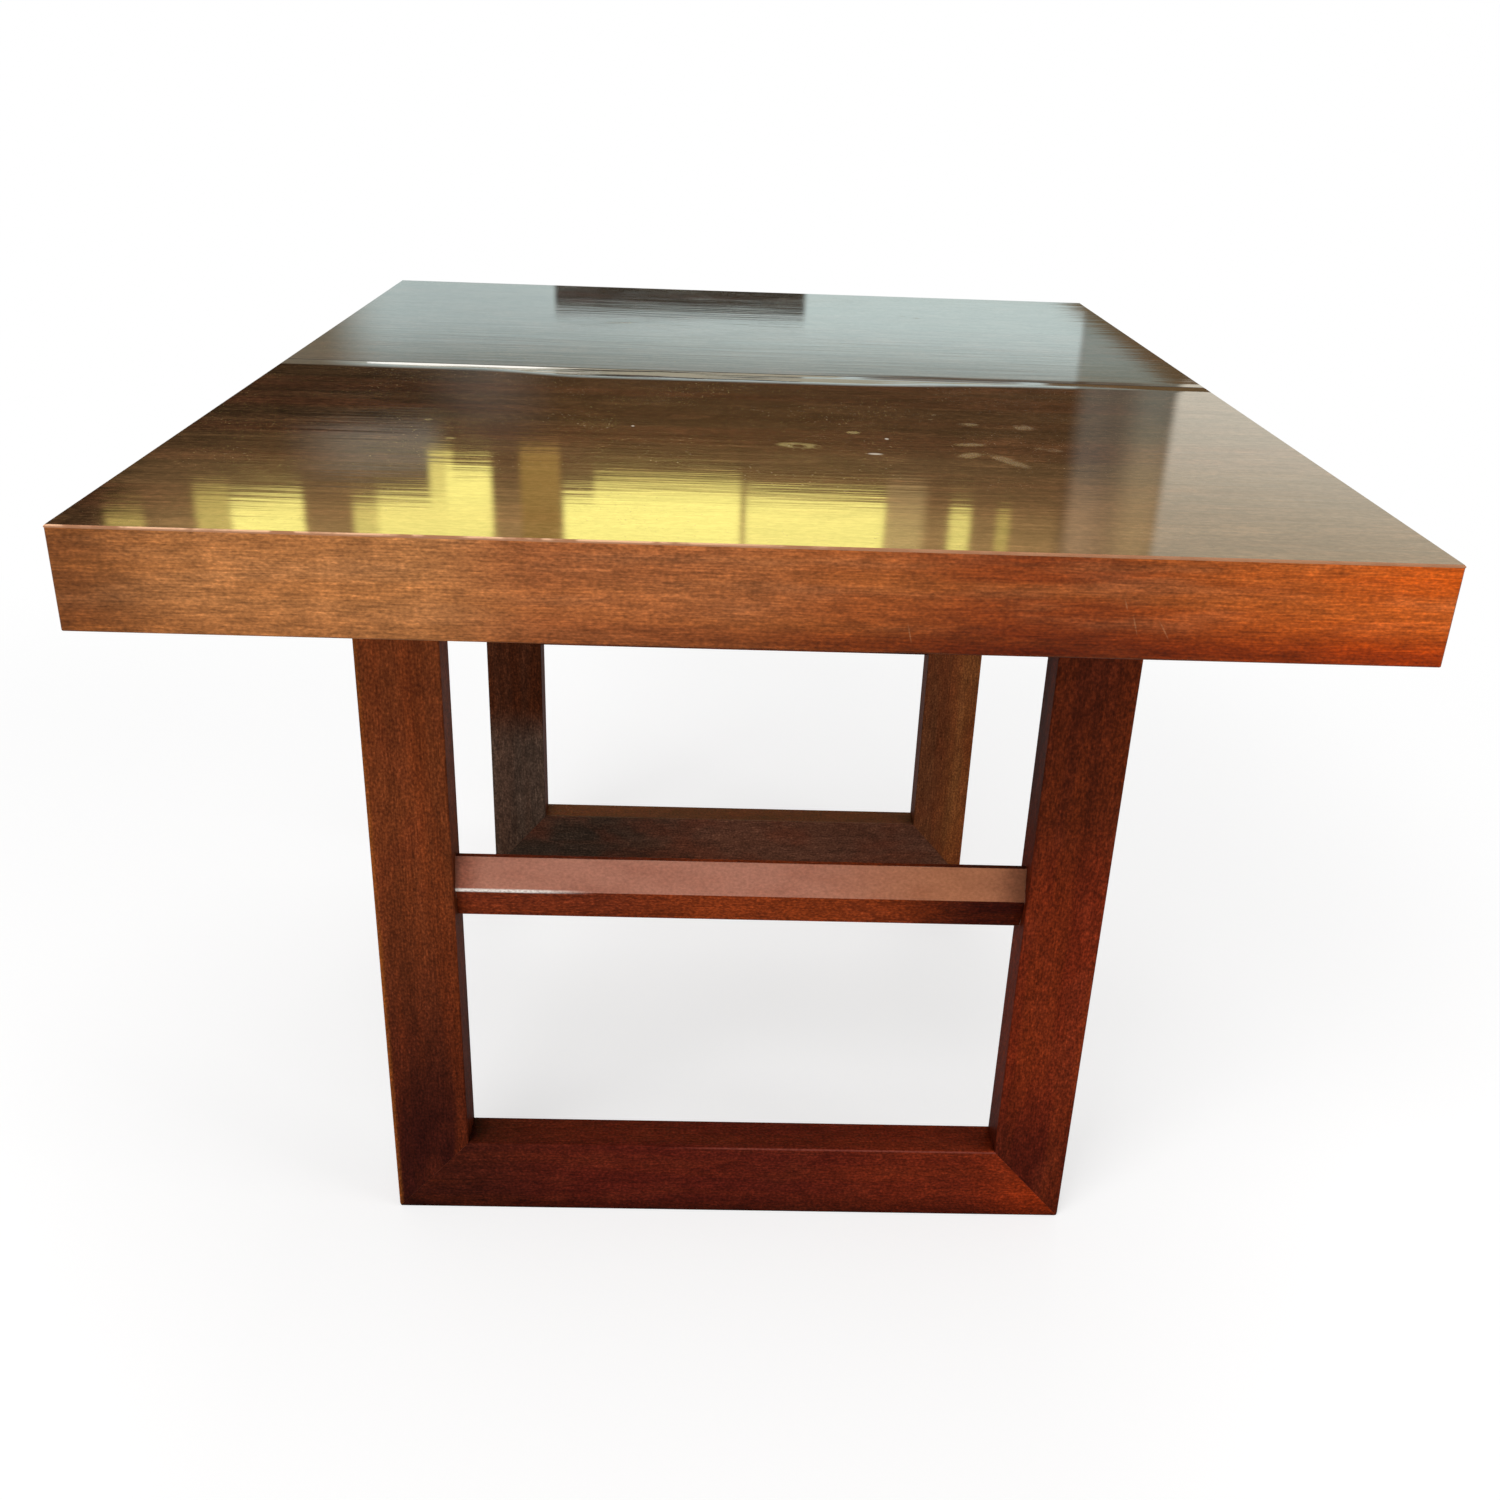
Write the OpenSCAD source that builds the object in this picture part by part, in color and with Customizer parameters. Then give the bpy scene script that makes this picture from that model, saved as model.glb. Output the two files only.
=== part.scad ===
// Extension dining table with a slab-like edge on two closed sled frames.
// The top is in two halves that draw apart on wooden slides. The front half stays, the rear half moves.
// X runs across the table, Y along it from front to rear, Z up from the floor, in millimetres.
// The origin is on the floor under the middle of the closed table.

/* [Top] */
// Length of the closed table
top_length = 1220; // [1100:10:1500]
// Width of the top
top_width = 935; // [880:5:1100]
// Height of the top's surface above the floor
table_height = 760; // [700:5:800]
// Height of the edge, from the top's surface to the underside of the apron
edge_height = 73; // [68:1:90]
// Thickness of the apron boards
apron_thick = 22; // [18:1:28]
// Thickness of the core panels
panel_thick = 20; // [18:1:24]
// Thickness of the face veneer
veneer_thick = 2; // [1.5:0.5:3]
// Gap between the two halves when the table is closed
joint_gap = 0.5; // [0.3:0.1:1]
// Chamfer on the veneer's edges and the apron's outer edges
arris = 1; // [0.5:0.1:1.2]

/* [Frames] */
// Width of a frame over its legs
frame_width = 664; // [640:2:760]
// Width of a leg seen from the end of the table
leg_face = 72; // [60:1:84]
// Thickness of legs and foot rails along the table
leg_depth = 42; // [36:1:56]
// Height of a foot rail
foot_height = 80; // [60:1:90]
// Distance from the end of the top to the outer face of a frame
frame_setback = 230; // [200:5:280]
// Rounding of the long edges of legs and rails
edge_radius = 2; // [1:0.5:4]
// Rounding of a frame's lower corners
foot_corner_radius = 5; // [2:0.5:10]
// Height of a stretcher's section
stretcher_height = 60; // [50:1:70]
// Thickness of a stretcher from ridge to ridge
stretcher_thick = 24; // [20:1:34]
// Width of the narrow flats above and below a stretcher
stretcher_flat = 6; // [4:1:10]
// Height of a stretcher's ridges above the floor
stretcher_level = 360; // [300:5:420]
// Height of a frame's top rail
top_rail_height = 50; // [44:1:60]
// Thickness of a frame's top rail
top_rail_thick = 32; // [26:1:34]

/* [Frame joints] */
// Length of the tenons of stretchers and top rails
tenon_length = 30; // [20:1:40]
// Thickness of these tenons
tenon_thick = 9; // [7:0.5:10]
// Height of these tenons
tenon_height = 34; // [28:1:36]
// Thickness of the splines in the mitred corners
spline_thick = 6; // [4:0.5:10]
// Length of a spline along its mitre
spline_length = 60; // [40:1:70]
// Width of a spline across its mitre
spline_width = 26; // [18:1:32]
// Gap round tenons, splines and fixings in their holes
fit_gap = 0.1; // [0.05:0.01:0.15]

/* [Leg cleats] */
// Width of the cleats that hold the legs to the panel
cleat_width = 36; // [30:1:44]
// Height of these cleats
cleat_height = 40; // [34:1:44]
// Length of these cleats along the table
cleat_length = 240; // [220:5:280]
// Diameter of the leg bolts
bolt_dia = 6; // [5:0.5:8]
// Diameter of the leg bolts' domed heads
bolt_head_dia = 14; // [12:0.5:16]
// Height of these heads
bolt_head_height = 3.5; // [2.5:0.5:5]
// Vertical distance between the two bolts of a leg
bolt_spacing = 17; // [16.5:0.5:19]
// Width across the corners of the bolts' nuts
nut_corners = 11.5; // [10:0.5:14]
// Height of the nuts
nut_height = 5; // [4:0.5:7]
// Length of bolt that stands out of its nut
bolt_end = 1.5; // [1:0.5:3]
// Diameter of the washers under the nuts
washer_dia = 14; // [12:0.5:16]
// Thickness of these washers
washer_thick = 1.5; // [1:0.1:2]

/* [Slides] */
// Gap between a leg and the outer runner
runner_inset = 25; // [15:1:35]
// Width of each slide runner
runner_width = 28; // [26:1:32]
// Height of each slide runner
runner_height = 46; // [40:1:50]
// Gap between neighbouring runners
runner_gap = 1; // [0.5:0.1:2]
// Gap from the runners to the half top and the rail that they pass
runner_relief = 2; // [1:0.5:3]
// Gap from the runners' ends to the end aprons
runner_end_gap = 12; // [8:1:20]
// Height of the tongues on the middle runners
tongue_height = 14; // [10:1:18]
// Reach of a tongue into its groove
tongue_reach = 8; // [6:0.5:9]
// Play of a tongue in its groove, on each side
slide_play = 0.4; // [0.3:0.05:0.5]
// Travel of each runner along its neighbour
slide_travel = 300; // [200:10:360]
// Diameter of the stop pins in the grooves
stop_pin_dia = 6; // [5:0.5:7]
// Depth of a stop pin above its groove
stop_pin_bite = 8; // [6:1:10]
// Distance from a stop pin to the runner's end
stop_pin_inset = 36; // [30:1:50]
// Width along the table of the rail that ties the middle runners
cross_rail_width = 60; // [50:1:80]
// Thickness of this rail
cross_rail_thick = 20; // [16:1:24]

/* [Catches and dowels] */
// Distance of each catch from the table's centre line
catch_offset = 350; // [340:1:365]
// Distance from a catch's pivot to the joint between the halves
pivot_setback = 28; // [25:1:32]
// Distance from a keeper's stud to the joint between the halves
stud_setback = 12; // [10:1:14]
// Thickness of catch plates and keepers
plate_thick = 2; // [1.5:0.5:2.5]
// Width of catch plates and keepers
plate_width = 30; // [28:1:34]
// Thickness of the catch levers
lever_thick = 3; // [2:0.5:4]
// Width of a lever's hooked arm
lever_width = 22; // [20:1:24]
// Length of a lever's thumb tab, from the pivot
tab_length = 34; // [28:1:38]
// Width of the thumb tab
tab_width = 14; // [10:1:16]
// Diameter of rivets
rivet_dia = 6; // [5:0.5:7]
// Diameter of the keepers' studs
stud_dia = 8; // [6:0.5:9]
// Diameter of the heads on rivets and studs
rivet_head_dia = 12; // [11:0.5:13]
// Thickness of these heads
rivet_head_thick = 2; // [1.5:0.5:3]
// Radial gap between a lever and its rivet
pivot_play = 0.06; // [0.02:0.01:0.1]
// Gap above and below a lever
lever_play = 0.3; // [0.2:0.05:0.5]
// Gap between a lever's notch and the stud
notch_play = 0.6; // [0.4:0.1:0.8]
// Angle of the notch's mouth
notch_angle = 35; // [30:1:45]
// Diameter of the dowels that line up the halves
dowel_dia = 9; // [8:0.5:10]
// Depth of a dowel in the front panel
dowel_seat = 20; // [16:1:24]
// Reach of a dowel into the rear panel
dowel_reach = 16; // [12:1:20]
// Length of a dowel's tapered tip
dowel_tip = 4; // [2:0.5:5]
// Radial gap of a dowel in the rear panel
dowel_play = 0.1; // [0.05:0.01:0.1]
// Distance of the inner dowels from the centre line
dowel_inner = 120; // [100:1:140]
// Distance of the outer dowels from the centre line
dowel_outer = 400; // [390:1:410]

/* [Screws and blocks] */
// Diameter of the wood screws
screw_dia = 5; // [4:0.5:6]
// Diameter of their countersunk heads
screw_head_dia = 10; // [8:0.5:11]
// Height of these heads
screw_head_height = 3; // [2:0.5:4]
// Depth of the screws in the panels
screw_bite = 13; // [10:1:15]
// Depth of the cross rail's screws in the middle runners
rail_screw_bite = 25; // [18:1:30]
// Diameter of the catch and keeper screws
small_screw_dia = 3.5; // [3:0.5:4]
// Diameter of their heads
small_screw_head_dia = 7; // [6:0.5:8]
// Height of their heads
small_screw_head_height = 1.2; // [1:0.1:1.4]
// Width of the driving slots
screw_slot = 1; // [0.8:0.1:1.2]
// Legs of the triangular glue blocks behind the aprons
glue_block = 24; // [18:1:30]
// Length of a glue block
glue_block_length = 70; // [50:5:90]
// Legs of the triangular blocks in the corners
corner_block = 70; // [55:1:80]
// Height of the corner blocks
corner_block_height = 40; // [30:1:45]

/* [Hidden] */

lacquer = [0.23, 0.13, 0.09];
mahogany = [0.56, 0.29, 0.14];
red_mahogany = [0.33, 0.13, 0.08];
core_wood = [0.72, 0.58, 0.42];
beech = [0.80, 0.66, 0.48];
steel = [0.62, 0.62, 0.64];
brass = [0.76, 0.61, 0.31];

round_fn = 48;
overcut = 1;

// Heights above the floor
veneer_z = table_height - veneer_thick;
panel_z = veneer_z - panel_thick;
apron_z = table_height - edge_height;
runner_top = panel_z - runner_relief;
runner_z = runner_top - runner_height;
top_rail_z = runner_z - runner_relief - top_rail_height;
cleat_z = panel_z - cleat_height;
bolt_z = panel_z - cleat_height / 2;
dowel_z = panel_z + panel_thick / 2;
plate_z = panel_z - plate_thick;
lever_z = plate_z - lever_play - lever_thick;
rivet_head_z = lever_z - lever_play - rivet_head_thick;
tongue_z = runner_z + (runner_height - tongue_height) / 2;
cross_rail_z = runner_z - runner_relief - cross_rail_thick;

// Distances from the centre line
half_width = top_width / 2;
apron_in = half_width - apron_thick;
frame_half = frame_width / 2;
leg_in = frame_half - leg_face;
runner_step = runner_width + runner_gap;
outer_runner_x = leg_in - runner_inset - runner_width;
middle_runner_x = outer_runner_x - runner_step;
inner_runner_x = middle_runner_x - runner_step;
groove_depth = tongue_reach + slide_play;
outer_runner_web = outer_runner_x + (runner_width + groove_depth) / 2;
inner_runner_web = inner_runner_x + (runner_width - groove_depth) / 2;

// Distances along the table from the joint, front half
half_length = top_length / 2;
joint_y = -joint_gap / 2;
apron_y = -half_length + apron_thick;
frame_y = -half_length + frame_setback;
frame_mid = frame_y + leg_depth / 2;
runner_end = half_length - apron_thick - runner_end_gap;
stop_pin_y = runner_end - stop_pin_inset;
pivot_radius = pivot_setback + stud_setback;
plate_edge = 3;
plate_length = 2 * pivot_setback;
keeper_length = pivot_setback + rivet_head_dia / 2;

// Lengths of the screws
cleat_screw_length = cleat_height + screw_bite;
runner_screw_length = runner_height + runner_relief + screw_bite;
rail_screw_length = cross_rail_thick + runner_relief + rail_screw_bite;
plate_screw_length = plate_thick + screw_bite;

// Spacing of what is set out in rows
screw_margin = 5;
catch_screw_rows = [-plate_edge - screw_margin, screw_margin - plate_length];
keeper_screw_rows = [plate_edge + keeper_length - 2 * screw_margin];
cleat_screw_rows = [-0.42, -0.21, 0.21, 0.42] * cleat_length;
runner_screw_count = 4;
runner_screw_end = 40;
glue_block_places = [0.3, 0.75];
land_end = 8;

// Square with rounded corners, its lower left corner on the origin
module rounded_rect(w, d, r) {
    translate([r, 0]) square([w - 2 * r, d]);
    translate([0, r]) square([w, d - 2 * r]);
    for (x = [r, w - r], y = [r, d - r]) translate([x, y]) circle(r, $fn = round_fn);
}

// Square bar whose corner takes a chamfer off an edge that runs along X
module arris_bar(length) {
    rotate([45, 0, 0]) cube([length, arris * sqrt(2), arris * sqrt(2)], center = true);
}

// Puts an outline that is drawn in X and Z onto its place between two depths
module standing(y0, y1) {
    translate([0, y1, 0]) rotate([90, 0, 0]) linear_extrude(y1 - y0) children();
}

// Countersunk screw, its head's face on the origin and its tip along +Z
module slotted_screw(dia, head_dia, head_height, length) difference() {
    union() {
        cylinder(h = length, d = dia, $fn = round_fn);
        cylinder(h = head_height, d1 = head_dia, d2 = dia, $fn = round_fn);
    }
    translate([-head_dia / 2, -screw_slot / 2, -overcut])
        cube([head_dia, screw_slot, overcut + head_height / 2]);
}

// Hole for that screw
module countersunk_hole(dia, head_dia, head_height, length) translate([0, 0, -fit_gap]) {
    hole_dia = dia + 2 * fit_gap;
    cylinder(h = length + 2 * fit_gap, d = hole_dia, $fn = round_fn);
    cylinder(h = head_height + fit_gap, d1 = head_dia + 4 * fit_gap, d2 = hole_dia, $fn = round_fn);
}

module wood_screw(length) slotted_screw(screw_dia, screw_head_dia, screw_head_height, length);
module wood_screw_hole(length) countersunk_hole(screw_dia, screw_head_dia, screw_head_height, length);
module plate_screw()
    slotted_screw(small_screw_dia, small_screw_head_dia, small_screw_head_height, plate_screw_length);
module plate_screw_hole()
    countersunk_hole(small_screw_dia, small_screw_head_dia, small_screw_head_height, plate_screw_length);

// The rear half is the front half turned end for end
module as_rear() mirror([0, 1, 0]) children();
module both_sides() for (side = [0, 1]) mirror([side, 0, 0]) children();

// Top

module face_veneer() color(lacquer) difference() {
    translate([-half_width, -half_length, veneer_z])
        cube([top_width, half_length + joint_y, veneer_thick]);
    for (y = [-half_length, joint_y]) translate([0, y, table_height]) arris_bar(top_width + 2 * overcut);
    for (x = [-half_width, half_width])
        translate([x, -half_length / 2, table_height]) rotate([0, 0, 90])
            arris_bar(half_length + 2 * overcut);
}

module panel_blank() translate([-apron_in, apron_y, panel_z])
    cube([2 * apron_in, joint_y - apron_y, panel_thick]);

module front_panel() color(core_wood) difference() {
    panel_blank();
    dowel_places() rotate([90, 0, 0])
        cylinder(h = dowel_seat + fit_gap, d = dowel_dia + 2 * fit_gap, $fn = round_fn);
    cleat_screw_places() wood_screw_hole(cleat_screw_length);
    runner_screw_places(outer_runner_web) wood_screw_hole(runner_screw_length);
    plate_screw_places(catch_screw_rows) plate_screw_hole();
}

module rear_panel() color(core_wood) difference() {
    as_rear() panel_blank();
    dowel_places() rotate([-90, 0, 0])
        cylinder(h = dowel_reach + overcut, d = dowel_dia + 2 * dowel_play, $fn = round_fn);
    as_rear() cleat_screw_places() wood_screw_hole(cleat_screw_length);
    as_rear() runner_screw_places(inner_runner_web) wood_screw_hole(runner_screw_length);
    plate_screw_places(keeper_screw_rows) plate_screw_hole();
}

// Chamfers on the apron's lower edges and its two upright corners
module apron_arrises() {
    translate([0, -half_length, apron_z]) arris_bar(top_width + 2 * overcut);
    both_sides() {
        translate([half_width, -half_length / 2, apron_z]) rotate([0, 0, 90])
            arris_bar(half_length + 2 * overcut);
        translate([half_width, -half_length, apron_z + edge_height / 2])
            rotate([0, 90, 0]) arris_bar(edge_height + 2 * overcut);
    }
}

module end_apron() color(mahogany) difference() {
    translate([0, 0, apron_z]) linear_extrude(veneer_z - apron_z) polygon([
        [-half_width, -half_length], [half_width, -half_length],
        [apron_in, apron_y], [-apron_in, apron_y]
    ]);
    apron_arrises();
}

module left_apron() color(mahogany) difference() {
    translate([0, 0, apron_z]) linear_extrude(veneer_z - apron_z) polygon([
        [-half_width, -half_length], [-apron_in, apron_y], [-apron_in, joint_y], [-half_width, joint_y]
    ]);
    apron_arrises();
}

module right_apron() mirror([1, 0, 0]) left_apron();

// Triangular blocks glued into the corners under the panel
module corner_blocks() color(beech) both_sides()
    translate([apron_in, apron_y, panel_z - corner_block_height]) linear_extrude(corner_block_height)
        polygon([[0, 0], [-corner_block, 0], [0, corner_block]]);

// Triangular strips glued between the aprons and the panel
module glue_blocks() color(beech) {
    for (x = [-1, 0, 1] * (outer_runner_x + apron_in) / 2)
        translate([x - glue_block_length / 2, apron_y, panel_z]) rotate([90, 0, 90])
            linear_extrude(glue_block_length) polygon([[0, 0], [glue_block, 0], [0, -glue_block]]);
    both_sides() for (place = glue_block_places)
        translate([apron_in, -half_length * place + glue_block_length / 2, panel_z]) rotate([90, 0, 0])
            linear_extrude(glue_block_length) polygon([[0, 0], [-glue_block, 0], [0, -glue_block]]);
}

// Frames

// Takes the rounding off a frame's two lower corners
module foot_corners() both_sides()
    standing(frame_y - overcut, frame_y + leg_depth + overcut) difference() {
        translate([frame_half - foot_corner_radius, -overcut])
            square([foot_corner_radius + overcut, foot_corner_radius + overcut]);
        translate([frame_half - foot_corner_radius, foot_corner_radius])
            circle(foot_corner_radius, $fn = round_fn);
    }

// Spline across each mitre, or its slot when it is given a gap
module splines(gap) both_sides()
    translate([frame_half - leg_face / 2, frame_mid, foot_height / 2])
        rotate([0, -atan2(foot_height, -leg_face), 0])
            cube([spline_length, spline_thick, spline_width] + [2, 2, 2] * gap, center = true);

module tenon(z, gap) both_sides()
    translate([leg_in - overcut, frame_mid - tenon_thick / 2 - gap, z - tenon_height / 2 - gap])
        cube([tenon_length + overcut + gap, tenon_thick + 2 * gap, tenon_height + 2 * gap]);

module right_leg() color(red_mahogany) difference() {
    intersection() {
        translate([leg_in, frame_y, 0]) linear_extrude(panel_z)
            rounded_rect(leg_face, leg_depth, edge_radius);
        standing(frame_y - overcut, frame_y + leg_depth + overcut) polygon([
            [frame_half, 0], [frame_half, panel_z], [leg_in, panel_z], [leg_in, foot_height]
        ]);
    }
    foot_corners();
    splines(fit_gap);
    tenon(stretcher_level, fit_gap);
    tenon(top_rail_z + top_rail_height / 2, fit_gap);
    bolt_places() translate([-overcut, 0, 0]) rotate([0, 90, 0])
        cylinder(h = leg_face + 2 * overcut, d = bolt_dia + 2 * fit_gap, $fn = round_fn);
}

module left_leg() mirror([1, 0, 0]) right_leg();

module foot_rail() color(red_mahogany) difference() {
    intersection() {
        translate([-frame_half, frame_y, 0]) rotate([90, 0, 90])
            linear_extrude(frame_width) rounded_rect(leg_depth, foot_height, edge_radius);
        standing(frame_y - overcut, frame_y + leg_depth + overcut) polygon([
            [-frame_half, 0], [frame_half, 0], [leg_in, foot_height], [-leg_in, foot_height]
        ]);
    }
    foot_corners();
    splines(fit_gap);
}

module mitre_splines() color(beech) splines(0);

module stretcher() color(red_mahogany) {
    translate([-leg_in, frame_mid, stretcher_level]) rotate([90, 0, 90]) linear_extrude(2 * leg_in) polygon([
        [-stretcher_flat / 2, stretcher_height / 2], [stretcher_flat / 2, stretcher_height / 2],
        [stretcher_thick / 2, 0], [stretcher_flat / 2, -stretcher_height / 2],
        [-stretcher_flat / 2, -stretcher_height / 2], [-stretcher_thick / 2, 0]
    ]);
    tenon(stretcher_level, 0);
}

module top_rail() color(red_mahogany) {
    translate([-leg_in, frame_mid - top_rail_thick / 2, top_rail_z]) rotate([90, 0, 90])
        linear_extrude(2 * leg_in) rounded_rect(top_rail_thick, top_rail_height, edge_radius);
    tenon(top_rail_z + top_rail_height / 2, 0);
}

// Leg cleats and their fixings

module cleat_screw_places() both_sides() for (row = cleat_screw_rows)
    translate([frame_half + cleat_width / 2, frame_mid + row, cleat_z]) children();

module bolt_places() for (dz = [-0.5, 0.5] * bolt_spacing)
    translate([leg_in, frame_mid, bolt_z + dz]) children();

module right_cleat() color(beech) difference() {
    translate([frame_half, frame_mid - cleat_length / 2, cleat_z])
        cube([cleat_width, cleat_length, cleat_height]);
    cleat_screw_places() wood_screw_hole(cleat_screw_length);
    bolt_places() rotate([0, 90, 0])
        cylinder(h = leg_face + cleat_width + overcut, d = bolt_dia + 2 * fit_gap, $fn = round_fn);
}

module left_cleat() mirror([1, 0, 0]) right_cleat();

module cleat_screws() color(steel) cleat_screw_places() wood_screw(cleat_screw_length);

// Domed head on the leg's inner face, shank through leg and cleat
module leg_bolts() color(steel) both_sides() bolt_places() rotate([0, 90, 0]) {
    cylinder(h = leg_face + cleat_width + washer_thick + nut_height + bolt_end, d = bolt_dia,
             $fn = round_fn);
    mirror([0, 0, 1])
        cylinder(h = bolt_head_height, d1 = bolt_head_dia, d2 = bolt_head_dia / 2, $fn = round_fn);
}

module leg_nuts() color(steel) both_sides() bolt_places()
    translate([leg_face + cleat_width, 0, 0]) rotate([0, 90, 0]) difference() {
        union() {
            cylinder(h = washer_thick, d = washer_dia, $fn = round_fn);
            translate([0, 0, washer_thick]) cylinder(h = nut_height, d = nut_corners, $fn = 6);
        }
        translate([0, 0, -overcut])
            cylinder(h = washer_thick + nut_height + 2 * overcut, d = bolt_dia + 2 * fit_gap,
                     $fn = round_fn);
    }

// Slides

function runner_screw_y(i) = -runner_end + runner_screw_end
    + i * (runner_end - land_end - 2 * runner_screw_end) / (runner_screw_count - 1);

module runner_screw_places(x) both_sides() for (i = [0 : runner_screw_count - 1])
    translate([x, runner_screw_y(i), runner_z]) children();

// Bar with a land on top where it is screwed to the front half
module fixed_runner_blank(x) {
    translate([x, -runner_end, runner_z]) cube([runner_width, 2 * runner_end, runner_height]);
    translate([x, -runner_end, runner_top]) cube([runner_width, runner_end - land_end, runner_relief]);
}

module groove(x) translate([x, -runner_end - overcut, tongue_z - slide_play])
    cube([groove_depth + overcut, 2 * (runner_end + overcut), tongue_height + 2 * slide_play]);

// Stop pin, or its hole when it is given a gap, in the middle of a groove that starts at x
module stop_pin(x, gap) translate([x, stop_pin_y, runner_z - gap])
    cylinder(h = (runner_height + tongue_height) / 2 + stop_pin_bite + 2 * gap,
             d = stop_pin_dia + 2 * gap, $fn = round_fn);

module front_right_runner() color(beech) difference() {
    fixed_runner_blank(outer_runner_x);
    groove(outer_runner_x - overcut);
    stop_pin(outer_runner_x + groove_depth / 2, fit_gap);
    runner_screw_places(outer_runner_web) wood_screw_hole(runner_screw_length);
}

module rear_right_runner() color(beech) as_rear() difference() {
    fixed_runner_blank(inner_runner_x);
    groove(inner_runner_x + runner_width - groove_depth);
    stop_pin(inner_runner_x + runner_width - groove_depth / 2, fit_gap);
    runner_screw_places(inner_runner_web) wood_screw_hole(runner_screw_length);
}

module front_runner_screws() color(steel)
    runner_screw_places(outer_runner_web) wood_screw(runner_screw_length);

module rear_runner_screws() color(steel)
    as_rear() runner_screw_places(inner_runner_web) wood_screw(runner_screw_length);

module front_stop_pins() color(brass) both_sides() stop_pin(outer_runner_x + groove_depth / 2, 0);

module rear_stop_pins() color(brass) as_rear() both_sides()
    stop_pin(inner_runner_x + runner_width - groove_depth / 2, 0);

// Tongue that is left out along the travel of the stop pin beside it
module tongue(x) {
    reach = tongue_reach + runner_gap;
    pin_half = stop_pin_dia / 2 + slide_play;
    translate([x, -runner_end, tongue_z])
        cube([reach, runner_end + stop_pin_y - slide_travel - pin_half, tongue_height]);
    translate([x, stop_pin_y + pin_half, tongue_z])
        cube([reach, runner_end - stop_pin_y - pin_half, tongue_height]);
}

module right_middle_runner() color(beech) difference() {
    union() {
        translate([middle_runner_x, -runner_end, runner_z])
            cube([runner_width, 2 * runner_end, runner_height]);
        tongue(middle_runner_x + runner_width);
        as_rear() tongue(middle_runner_x - tongue_reach - runner_gap);
    }
    cross_rail_screw_places() wood_screw_hole(rail_screw_length);
}

module cross_rail_screw_places() both_sides() for (y = [-0.25, 0.25] * cross_rail_width)
    translate([middle_runner_x + runner_width / 2, y, cross_rail_z]) children();

// Rail under the middle runners, with a pad at each so that it clears the inner runners
module slide_cross_rail() color(beech) difference() {
    union() {
        translate([-middle_runner_x - runner_width, -cross_rail_width / 2, cross_rail_z])
            cube([2 * (middle_runner_x + runner_width), cross_rail_width, cross_rail_thick]);
        both_sides() translate([middle_runner_x, -cross_rail_width / 2, runner_z - runner_relief])
            cube([runner_width, cross_rail_width, runner_relief]);
    }
    cross_rail_screw_places() wood_screw_hole(rail_screw_length);
}

module cross_rail_screws() color(steel) cross_rail_screw_places() wood_screw(rail_screw_length);

// Dowels, catches and keepers

module dowel_places() both_sides() for (x = [dowel_inner, dowel_outer])
    translate([x, joint_y, dowel_z]) children();

module joint_dowels() color(brass) dowel_places() {
    body = dowel_seat + dowel_reach + joint_gap - dowel_tip;
    translate([0, -dowel_seat, 0]) rotate([-90, 0, 0]) {
        cylinder(h = body, d = dowel_dia, $fn = round_fn);
        translate([0, 0, body]) cylinder(h = dowel_tip, d1 = dowel_dia, d2 = dowel_dia / 2, $fn = round_fn);
    }
}

// Screws on the centre line of each plate, at the given distances from the joint
module plate_screw_places(rows) both_sides() for (y = rows)
    translate([catch_offset, y, plate_z]) children();

module catch_plates() color(steel) both_sides() difference() {
    translate([catch_offset - plate_width / 2, -plate_length, plate_z])
        cube([plate_width, plate_length - plate_edge, plate_thick]);
    translate([catch_offset, -pivot_setback, plate_z - overcut])
        cylinder(h = plate_thick + 2 * overcut, d = rivet_dia + 2 * fit_gap, $fn = round_fn);
    plate_screw_places(catch_screw_rows) plate_screw_hole();
}

module catch_rivets() color(brass) both_sides() translate([catch_offset, -pivot_setback, rivet_head_z]) {
    cylinder(h = rivet_head_thick, d = rivet_head_dia, $fn = round_fn);
    cylinder(h = panel_z - rivet_head_z, d = rivet_dia, $fn = round_fn);
}

// Lever at rest points at the centre line, and its notch follows the stud's path round the pivot
module right_catch_lever() color(brass) translate([catch_offset, -pivot_setback, lever_z])
    linear_extrude(lever_thick) difference() {
        union() {
            translate([-pivot_radius, -lever_width / 2]) square([pivot_radius, lever_width]);
            for (x = [0, -pivot_radius]) translate([x, 0]) circle(d = lever_width, $fn = round_fn);
            translate([0, -tab_width / 2]) square([tab_length, tab_width]);
            translate([tab_length, 0]) circle(d = tab_width, $fn = round_fn);
        }
        circle(d = rivet_dia + 2 * pivot_play, $fn = round_fn);
        translate([-pivot_radius, 0]) circle(d = stud_dia + 2 * notch_play, $fn = round_fn);
        intersection() {
            difference() {
                circle(pivot_radius + stud_dia / 2 + notch_play, $fn = 2 * round_fn);
                circle(pivot_radius - stud_dia / 2 - notch_play, $fn = 2 * round_fn);
            }
            polygon([[0, 0], [-2, 0] * pivot_radius, [-2, 2 * tan(notch_angle)] * pivot_radius]);
        }
    }

module keepers() color(steel) both_sides() {
    difference() {
        translate([catch_offset - plate_width / 2, plate_edge, plate_z])
            cube([plate_width, keeper_length, plate_thick]);
        plate_screw_places(keeper_screw_rows) plate_screw_hole();
    }
    translate([catch_offset, stud_setback, rivet_head_z]) {
        cylinder(h = rivet_head_thick, d = rivet_head_dia, $fn = round_fn);
        cylinder(h = plate_z + plate_thick / 2 - rivet_head_z, d = stud_dia, $fn = round_fn);
    }
}

module plate_screws(rows) color(steel) plate_screw_places(rows) plate_screw();

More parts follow.
